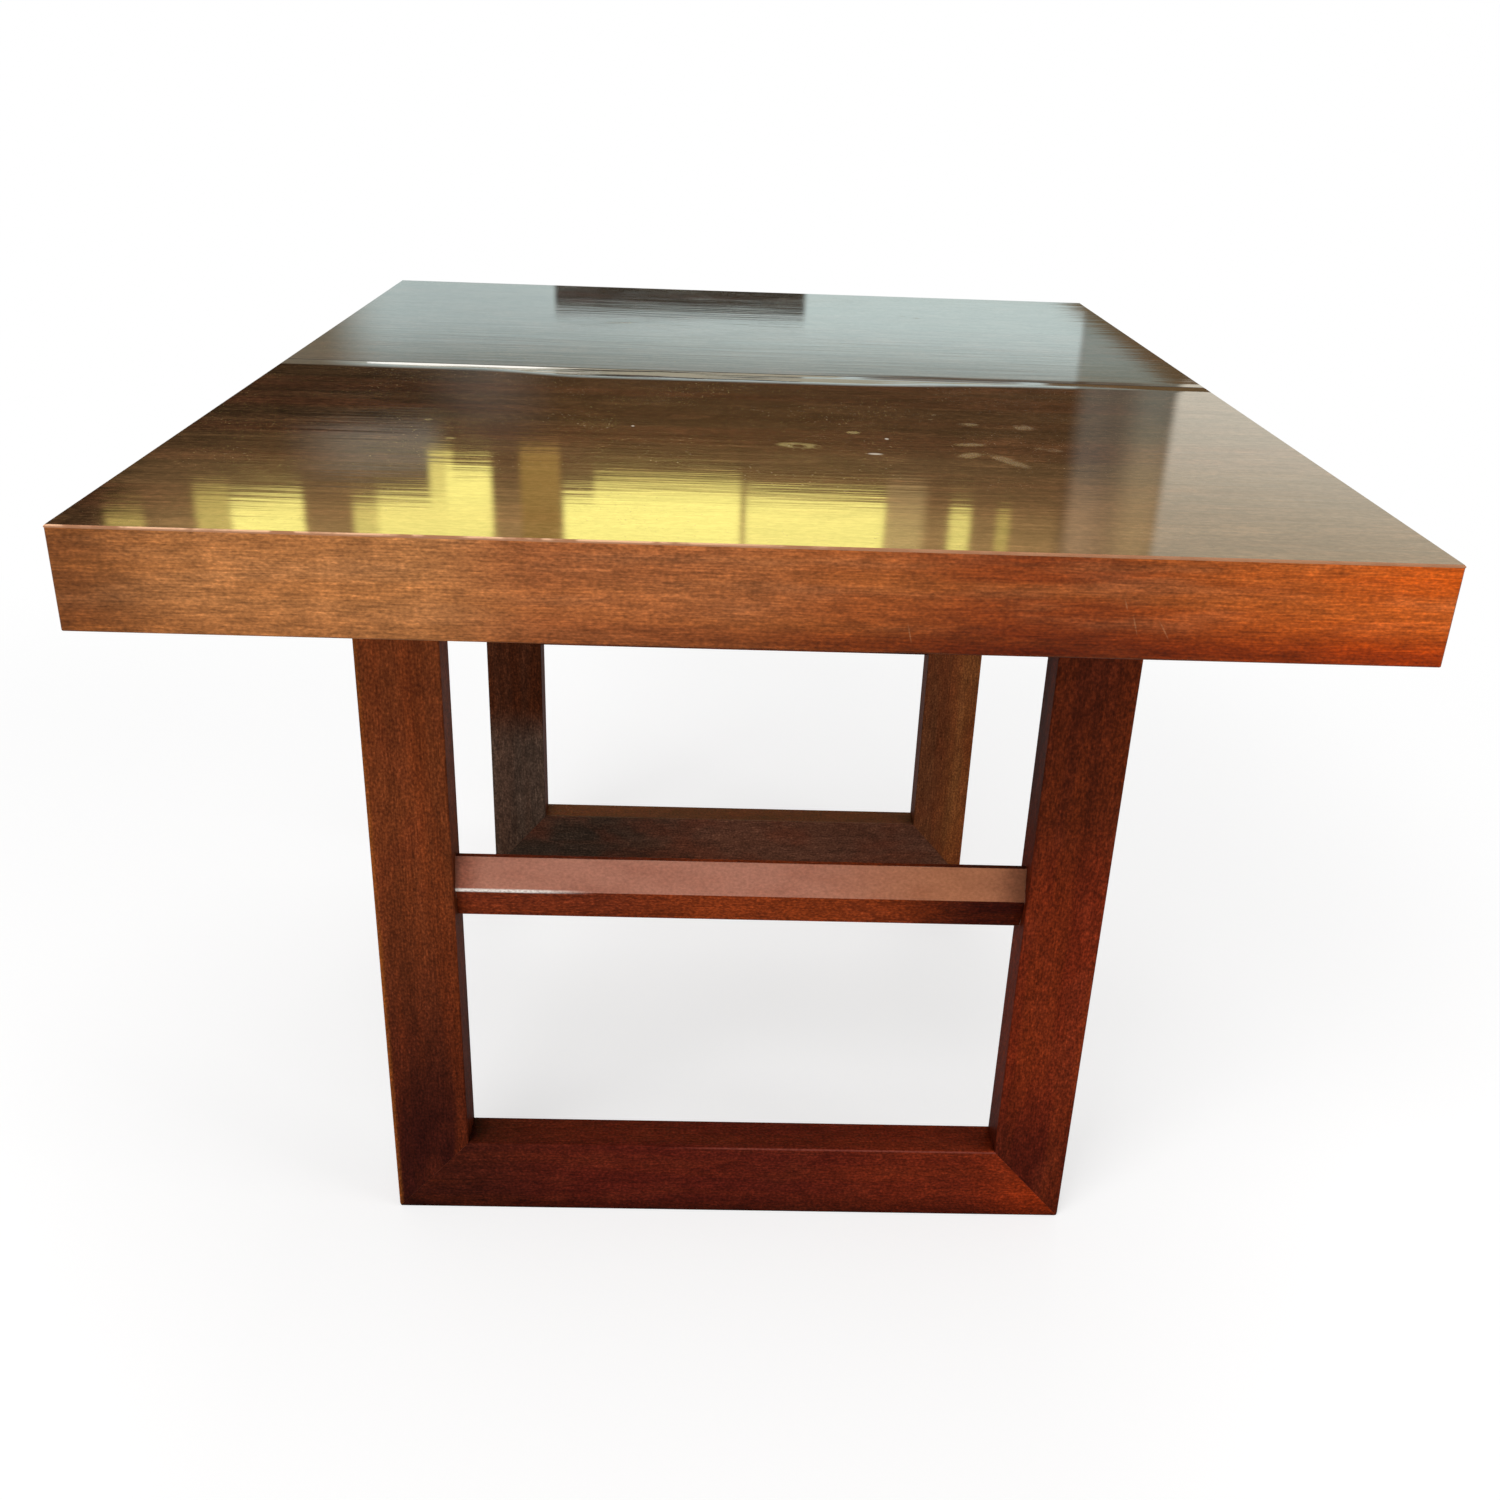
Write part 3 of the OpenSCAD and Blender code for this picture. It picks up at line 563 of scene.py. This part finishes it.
# Aprons. A tone is an axis, a start, an end and the colour there; a scratch is X, Z, length, width, turn
apronLooks = {
    "end_apron": {"along": "X", "base": "#a96e3e",
                  # the tones run from darker on the left to bright orange on the right: painted warm light
                  # from the right
                  "tones": (("X", -0.36, -0.46, "#774420"), ("X", -0.24, -0.14, "#9a582e"),
                            ("X", -0.02, 0.07, "#914a1f"), ("X", 0.07, 0.16, "#7e3712"),
                            ("X", 0.22, 0.34, "#a64b15"), ("X", 0.35, 0.43, "#c4520c")),
                  "shade": {"tone": "#bb9b78", "height": (0.720, 0.692), "side": (-0.25, 0.15),
                            "least": 0.3},
                  "scratches": ((0.252, 0.712, 0.018, 0.0014, -72), (0.272, 0.709, 0.019, 0.0014, -58),
                                (0.244, 0.726, 0.010, 0.0014, -70), (0.100, 0.702, 0.018, 0.0014, -76))},
    "left_apron": {"along": "Y", "base": "#7c4526"},
    "right_apron": {"along": "Y", "base": "#a04d1c"},
}
rearApronLooks = {
    **apronLooks,
    "end_apron": {"along": "X", "base": "#8a4a24", "tones": (("X", -0.30, 0.35, "#9c4c1c"),)},
}
dressWoods("front", apronLooks, {})
dressWoods("rear", rearApronLooks, {})
print("wood on the aprons")


# Frames: legs, foot rails, ridged stretchers and top rails
frameWood = {
    "warm": "#7c3210",
    "warmth": 0.30,
    "band": (0.30, 0.020, 1.0),
    "mottle": (0.018, 0.008, 1.2),
    "speck": (0.0030, 0.0021, 3.5),
    "fibre": (0.016, 0.0014, 2.1),
    "haze": (0.06, 0.030, 0.25),
    "hazeTone": "#6e2d18",
    # painted shade in corners and nooks, by this amount
    "paintedNookShade": 0.50,
    "rough": 0.46,
    "coat": 0.0,
    "coatRough": 0.20,
    "specular": 0.05,
    "wear": 0.18,
    "wearColour": "#8c4a30",
}
stretcherLook = {
    "along": "X",
    "base": "#722e16",
    "tones": (("X", -0.13, -0.02, "#883816"), ("X", 0.10, 0.22, "#360d05")),
    "rough": 0.36,
    "wear": 0.7,
    "wearColour": "#c9a08c",
    # painted sheen: the sloping upper face is painted paler and pinker, less at the ends
    "paintedSheen": {"tone": "#b27863", "farTone": "#a86c4c", "turn": (0.02, 0.20), "grain": 0.7,
            "slopeFrom": (0.10, 0.25), "slopeTo": (0.5, 0.7), "ends": (0.228, 0.258), "endShare": 0.45,
            "cloud": (0.05, 0.02), "cloudCut": (0.2, 0.7), "share": (0.75, 1.0)},
    # painted highlight: a pale line along the ridge, on its left part
    "ridge": {"tone": "#f8efe6", "height": 0.360, "width": 0.0024, "fade": (-0.13, -0.20)},
}
topRailLook = {"along": "X", "base": "#5a2412"}
frontFrameLooks = {
    # front legs: the tones darker towards the floor, and the right leg's darker top under the apron, are
    # painted shade; the left leg's orange strip at its outer edge is a painted highlight
    "left_leg": {"along": "Z", "base": "#773a1b",
                 "tones": (("Z", 0.54, 0.06, "#33100a"), ("X", -0.326, -0.333, "#8c4c1c"))},
    "right_leg": {"along": "Z", "base": "#6a230e",
                  "tones": (("Z", 0.20, 0.06, "#48150a"), ("Z", 0.35, 0.47, "#4c1c0b"))},
    # foot rail: the orange towards the right end is painted warm light; the rail is darker towards the left
    "foot_rail": {"along": "X", "base": "#52190f", "band": (0.30, 0.020, 0.45), "warmth": 0.12,
                  "tones": (("X", 0.04, 0.20, "#64200f"), ("X", 0.22, 0.33, "#92300e"),
                            ("X", -0.12, -0.28, "#3c150c")),
                  "paintedNookShade": 0.9, "wear": 0.3, "wearColour": "#94503e",
                  # painted highlight: a pale line along the foot rail's top arris, on its right part
                  "ridge": {"tone": "#7c3c30", "height": 0.0786, "width": 0.0012, "fade": (-0.08, 0.02)}},
    "stretcher": stretcherLook,
    "top_rail": topRailLook,
}
# Rear frame: its front faces carry painted light and shade, mostly darker and greyer shade from under the
# top; beyond Y 0.346 the tones turn to the wood's own colour
rearFrameLooks = {
    "left_leg": {"along": "Z", "base": "#503e33", "warm": "#553424", "haze": (0.06, 0.03, 0.0),
                 "tones": (("Z", 0.11, 0.06, "#44342a"), ("Z", 0.185, 0.25, "#46200e"),
                           ("Y", 0.339, 0.346, "#5c2c16"))},
    "right_leg": {"along": "Z", "base": "#824d28",
                  "tones": (("X", 0.315, 0.285, "#6c3e24"), ("Y", 0.339, 0.346, "#6a3418"))},
    "foot_rail": {"along": "X", "base": "#382b22", "warm": "#54301f",
                  "tones": (("X", -0.20, 0.02, "#664030"), ("Y", 0.339, 0.346, "#5c2c16"))},
    "stretcher": {**stretcherLook, "ridge": None},
    "top_rail": topRailLook,
}
dressWoods("front", frontFrameLooks, frameWood)
dressWoods("rear", rearFrameLooks, frameWood)
print("wood on the frames")


# Inside: slide runners, cleats, blocks, splines and core panels
innerWood = {
    "base": "#a8814f",
    "warm": "#b88c58",
    "band": (0.8, 0.020, 0.12),
    "mottle": (0.004, 0.0015, 0.35),
    "speck": (0.0030, 0.0008, 0.6),
    "fibre": (0.040, 0.0010, 0.7),
    "pore": (0.003, 0.0006, 0.25),
    "streak": (0.30, 0.004, 0.12),
    "rough": 0.55,
    "coat": 0.0,
    "specular": 0.35,
    "wear": 0.2,
    "wearColour": "#c8a678",
}
panelWood = {**innerWood, "base": "#7d5433", "warm": "#8e6440", "along": "X"}


def ofBothHalves(*parts):
    return [half + "_" + part for half in halves for part in parts]


longPieces = ofBothHalves("left_runner", "right_runner", "left_cleat", "right_cleat")
longPieces += ["left_middle_runner", "right_middle_runner"]
dress(longPieces, woodFinish("beechLong", {**innerWood, "along": "Y"}))
crossPieces = ofBothHalves("corner_blocks", "glue_blocks", "mitre_splines") + ["slide_cross_rail"]
dress(crossPieces, woodFinish("beechCross", {**innerWood, "along": "X"}))
dress(ofBothHalves("panel"), woodFinish("panelWood", panelWood))
print("wood on the inner pieces")


# Fittings. Cloud and grit are in patches per metre
steelLook = {"clean": "#a7a8a6", "dull": "#6c6a63", "rough": 0.35, "tarnish": 0.6}
brassLook = {"clean": "#b8934e", "dull": "#6b4f26", "rough": 0.32, "tarnish": 0.7}
metalSurface = {
    "cloud": 140.0,
    "cloudCut": (0.40, 0.68),
    "cloudRough": 0.3,
    "grit": 900.0,
    "gritRough": 0.15,
    "bump": 0.00004,
    "edge": 0.0004,
}


def metalFinish(name, look, surface):
    finish, tree, shader = newFinish(name)
    place = placeOf(tree)
    cloud = evenNoise(tree, place, surface["cloud"], detail=4.0)
    grit = evenNoise(tree, place, surface["grit"], detail=3.0)
    tarnish = ease(tree, cloud, *surface["cloudCut"], 0.0, look["tarnish"])
    colour = mixColour(tree, tarnish, linear(look["clean"]), linear(look["dull"]))
    tree.links.new(colour, shader.inputs["Base Color"])
    shader.inputs["Metallic"].default_value = 1.0
    rough = maths(tree, "ADD", look["rough"], swing(tree, grit, surface["gritRough"]))
    rough = maths(tree, "ADD", rough, product(tree, tarnish, surface["cloudRough"]))
    tree.links.new(rough, shader.inputs["Roughness"])
    feeds = {"Height": grit, "Distance": surface["bump"], "Normal": roundedNormal(tree, surface["edge"])}
    tree.links.new(addNode(tree, "Bump", feeds).outputs[0], shader.inputs["Normal"])
    return finish


steelParts = ofBothHalves("cleat_screws", "leg_bolts", "leg_nuts", "runner_screws")
steelParts += ["catch_plates", "catch_screws", "keepers", "keeper_screws", "cross_rail_screws"]
dress(steelParts, metalFinish("zincSteel", steelLook, metalSurface))
brassParts = ofBothHalves("stop_pins")
brassParts += ["catch_rivets", "left_catch_lever", "right_catch_lever", "joint_dowels"]
dress(brassParts, metalFinish("agedBrass", brassLook, metalSurface))
print("metal on the fittings")
print("finishes on", len(nodes), "nodes")


# Plain pale floor, white all round, and soft lamps
studio = {
    "floor": 30.0,
    "floorGrey": 0.50,
    "floorGlow": 0.58,
    "bounceGrey": 0.45,
    "fade": (1.1, 2.2),
    "fill": 0.40,
    "low": (0.46, 0.47, 0.44),
    "dim": (0.05, 0.04, 0.03),
    "dimming": (0.14, 0.34),
    "ceiling": (0.60, 0.90),
    "ceilingShare": 0.5,
    "stripTones": ((0.60, 0.36, 0.09), (2.40, 2.12, 0.60)),
    "stripTop": 0.46,
    "stripBlur": (0.18, 0.18),
    "stripFade": (0.006, 0.04),
}
# Soft panels that the gloss mirrors. Bearing is in degrees from +Y, rise is the sine of the height
# angle, blur and fade soften their edges, and a first tone turns to a second over the turn.
# slant is how far the sides lean, in degrees for a whole unit of rise
mirrorPanels = {
    "leftShade": {"bearing": (-60, -8.5), "blur": (1.0, 3.0), "rise": (-1.1, 0.55), "fade": (0.05, 0.04),
                  "tones": ((0.20, 0.18, 0.13), (0.010, 0.008, 0.005)), "turn": (0.17, 0.21)},
    "middleShade": {"bearing": (-8.5, 17.5), "blur": (3.0, 0.9), "rise": (-1.1, 0.55), "fade": (0.05, 0.04),
                    "tones": ((0.20, 0.20, 0.18), (0.068, 0.036, 0.015)), "turn": (0.17, 0.21)},
    "sideStrip": {"bearing": (15.1, 17.2), "blur": (1.0, 0.9), "rise": (0.18, 0.46), "fade": (0.02, 0.04),
                  "tones": ((0.21, 0.22, 0.18), (0.74, 0.50, 0.24)), "turn": (0.225, 0.32)},
    "innerStrip": {"bearing": (13.5, 15.1), "blur": (0.4, 1.0), "rise": (0.18, 0.46), "fade": (0.02, 0.04),
                   "tones": ((0.16, 0.145, 0.115), (0.70, 0.45, 0.24)), "turn": (0.262, 0.308)},
    "backPanel": {"bearing": (-12.4, 13.2), "blur": (1.8, 0.2), "rise": (-1.1, 0.203), "fade": (0.05, 0.022),
                  "tones": ((0.68, 0.81, 0.79), (0.36, 0.41, 0.38)), "turn": (0.146, 0.184)},
    "backLeft": {"bearing": (-12.4, -3.0), "blur": (1.8, 6.0), "rise": (-1.1, 0.203), "fade": (0.05, 0.022),
                 "tones": ((0.53, 0.64, 0.63), (0.27, 0.31, 0.28)), "turn": (0.146, 0.184)},
    "lowPanel": {"bearing": (-12.4, 13.2), "blur": (1.8, 0.2), "rise": (-1.1, 0.118), "fade": (0.05, 0.006),
                 "tones": ((0.49, 0.47, 0.35),)},
    "farShade": {"bearing": (-5.85, 3.15), "blur": (0.12, 0.15), "rise": (0.120, 0.143),
                 "fade": (0.002, 0.0015),
                 "tones": ((0.004, 0.004, 0.003), (0.024, 0.024, 0.018)), "turn": (0.130, 0.143)},
    "greyPanel": {"bearing": (13.2, 16.9), "blur": (0.2, 0.4), "rise": (0.10, 0.180), "fade": (0.02, 0.015),
                  "tones": ((0.31, 0.37, 0.34), (0.25, 0.26, 0.20)), "turn": (0.155, 0.18)},
    "slantPanel": {"bearing": (0.8, 30), "blur": (0.3, 1.0), "rise": (0.05, 0.172), "fade": (0.01, 0.003),
                   "tones": ((0.15, 0.10, 0.045), (0.12, 0.08, 0.04)), "turn": (0.12, 0.17), "slant": 92},
    "sidePanel": {"bearing": (16.9, 48), "blur": (0.2, 3.0), "rise": (0.172, 0.55), "fade": (0.003, 0.04),
                  "tones": ((0.94, 0.88, 0.73), (0.82, 0.69, 0.49)), "turn": (0.22, 0.32)},
    "warmShade": {"bearing": (-21.5, 13.4), "blur": (1.5, 0.4), "rise": (0.270, 0.46), "fade": (0.016, 0.04),
                  "tones": ((0.19, 0.11, 0.045), (0.66, 0.40, 0.15)), "turn": (0.283, 0.325)},
    "dimPatch": {"bearing": (-14.6, -10.4), "blur": (1.8, 0.6), "rise": (0.260, 0.288),
                 "fade": (0.006, 0.006),
                 "tones": ((0.25, 0.24, 0.20), (0.32, 0.28, 0.20)), "turn": (0.262, 0.278)},
    "warmGap": {"bearing": (6.7, 8.2), "blur": (0.2, 0.3), "rise": (0.292, 0.46), "fade": (0.006, 0.04),
                "tones": ((0.75, 0.52, 0.22), (1.15, 0.82, 0.31)), "turn": (0.30, 0.32)},
}
# Strips of warmer light in them: two bearings, lowest rise, and place between the dim and bright tone
warmStrips = ((-22.4, -21.1, 0.303, 0.25), (-19.3, -18.1, 0.294, 0.35), (-18.1, -15.5, 0.300, 1.08),
              (-13.7, -12.6, 0.306, 0.60), (-10.8, -9.9, 0.279, 0.60), (-12.8, -9.9, 0.303, 0.95),
              (-10.2, -8.5, 0.286, 1.00), (-7.4, -5.9, 0.276, 0.00), (-4.6, 1.05, 0.295, 0.70),
              (-5.8, 1.05, 0.303, 1.15), (1.25, 6.7, 0.301, 1.05), (9.2, 10.0, 0.303, 0.75),
              (11.0, 11.5, 0.303, 0.25))


def solid(tone):
    return (*tone, 1.0)


def within(tree, value, span, soft):
    # 1 between the two ends of a span, each softened by its own amount
    rising = ease(tree, value, span[0] - soft[0], span[0] + soft[0])
    falling = ease(tree, value, span[1] - soft[1], span[1] + soft[1], 1.0, 0.0)
    return product(tree, rising, falling)


def panelTone(tree, rise, panel):
    tones = [solid(tone) for tone in panel["tones"]]
    if "turn" not in panel:
        return tones[0]
    return mixColour(tree, ease(tree, rise, *panel["turn"]), *tones)


def panelMask(tree, bearing, rise, panel):
    if "slant" in panel:
        bearing = maths(tree, "SUBTRACT", bearing, product(tree, rise, panel["slant"]))
    sideways = within(tree, bearing, panel["bearing"], panel["blur"])
    return product(tree, sideways, within(tree, rise, panel["rise"], panel["fade"]))


def makeWorld(look, panels, strips):
    world = bpy.data.worlds.new("studio")
    bpy.context.scene.world = world
    world.use_nodes = True
    tree = world.node_tree
    tree.nodes.clear()
    path = addNode(tree, "LightPath").outputs
    shown = maths(tree, "MAXIMUM", path["Is Camera Ray"], path["Is Glossy Ray"])
    shown = maths(tree, "MAXIMUM", shown, path["Is Transmission Ray"])
    way = addNode(tree, "SeparateXYZ", {0: addNode(tree, "TexCoord").outputs["Generated"]}).outputs
    bearing = maths(tree, "DEGREES", maths(tree, "ARCTAN2", way["X"], way["Y"]))
    rise = way["Z"]
    tone = mixColour(tree, ease(tree, rise, *look["dimming"]), solid(look["low"]), solid(look["dim"]))
    for panel in panels.values():
        own = panelTone(tree, rise, panel)
        tone = mixColour(tree, panelMask(tree, bearing, rise, panel), tone, own)
    for start, end, lowest, share in strips:
        strip = {"bearing": (start, end), "blur": look["stripBlur"],
                 "rise": (lowest, look["stripTop"]), "fade": look["stripFade"]}
        own = [dim + (bright - dim) * share for dim, bright in zip(*look["stripTones"])]
        tone = mixColour(tree, panelMask(tree, bearing, rise, strip), tone, solid(own))
    tone = mixColour(tree, ease(tree, rise, *look["ceiling"], 0.0, look["ceilingShare"]), tone, white)
    tone = mixColour(tree, path["Is Camera Ray"], tone, white)
    seen = addNode(tree, "Background", {"Color": tone, "Strength": 1.0}).outputs[0]
    fill = addNode(tree, "Background", {"Color": white, "Strength": look["fill"]}).outputs[0]
    both = addNode(tree, "MixShader", {0: shown, 1: fill, 2: seen}).outputs[0]
    addNode(tree, "OutputWorld", {"Surface": both})


def grey(level):
    return (level, level, level, 1.0)


def floorFinish(look):
    # lit pale grey with some glow near the table, plain white further out, and grey to other rays
    finish, tree, shader = newFinish("floor")
    tree.nodes.remove(shader)
    plain = addNode(tree, "BsdfDiffuse", {"Color": grey(look["bounceGrey"])}).outputs[0]
    pale = addNode(tree, "BsdfDiffuse", {"Color": grey(look["floorGrey"])}).outputs[0]
    glow = addNode(tree, "Emission", {"Color": white, "Strength": look["floorGlow"]}).outputs[0]
    near = addNode(tree, "AddShader", {0: pale, 1: glow}).outputs[0]
    far = addNode(tree, "Emission", {"Color": white, "Strength": 1.0}).outputs[0]
    reach = addNode(tree, "VectorMath", {0: placeOf(tree)}, operation="LENGTH").outputs["Value"]
    lit = addNode(tree, "MixShader", {0: ease(tree, reach, *look["fade"]), 1: near, 2: far}).outputs[0]
    seen = addNode(tree, "LightPath").outputs["Is Camera Ray"]
    both = addNode(tree, "MixShader", {0: seen, 1: plain, 2: lit}).outputs[0]
    tree.links.new(both, tree.nodes["Material Output"].inputs["Surface"])
    return finish


def makeFloor(look):
    half = look["floor"]
    corners = [(-half, -half, 0), (half, -half, 0), (half, half, 0), (-half, half, 0)]
    mesh = bpy.data.meshes.new("floor")
    mesh.from_pydata(corners, [], [(0, 1, 2, 3)])
    mesh.materials.append(floorFinish(look))
    floor = bpy.data.objects.new("floor", mesh)
    bpy.context.scene.collection.objects.link(floor)


# The lamps light the wood, and only the low one is mirrored, by the strip along the joint
softLamps = {
    "frontBox": {"place": (-0.3, -4.4, 1.4), "aim": (0, -0.3, 0.5), "size": (3.2, 1.6), "power": 60},
    "keyBox": {"place": (-1.6, -2.6, 3.2), "aim": (0, 0, 0.6), "size": (1.8, 1.8), "power": 60},
    "sideBox": {"place": (3.4, -1.6, 2.4), "aim": (0, 0, 0.5), "size": (2.0, 2.0), "power": 35},
    "backBox": {"place": (0.4, 3.4, 4.2), "aim": (0, 0, 0.5), "size": (2.2, 2.2), "power": 60},
    "lowBox": {"place": (-1.15, 6.0, 1.15), "aim": (-0.2, 0, 0.9), "size": (1.1, 0.45), "power": 1.7,
               "mirrored": True},
}


def makeLamp(name, look):
    data = bpy.data.lights.new(name, "AREA")
    data.shape = "RECTANGLE"
    data.size, data.size_y = look["size"]
    data.energy = look["power"]
    lamp = bpy.data.objects.new(name, data)
    lamp.location = look["place"]
    towards = Vector(look["aim"]) - Vector(look["place"])
    lamp.rotation_euler = towards.to_track_quat("-Z", "Y").to_euler()
    lamp.visible_glossy = look.get("mirrored", False)
    bpy.context.scene.collection.objects.link(lamp)


makeWorld(studio, mirrorPanels, warmStrips)
makeFloor(studio)
for name, look in softLamps.items():
    makeLamp(name, look)
bpy.context.scene.view_settings.view_transform = "Standard"
print("studio lit")
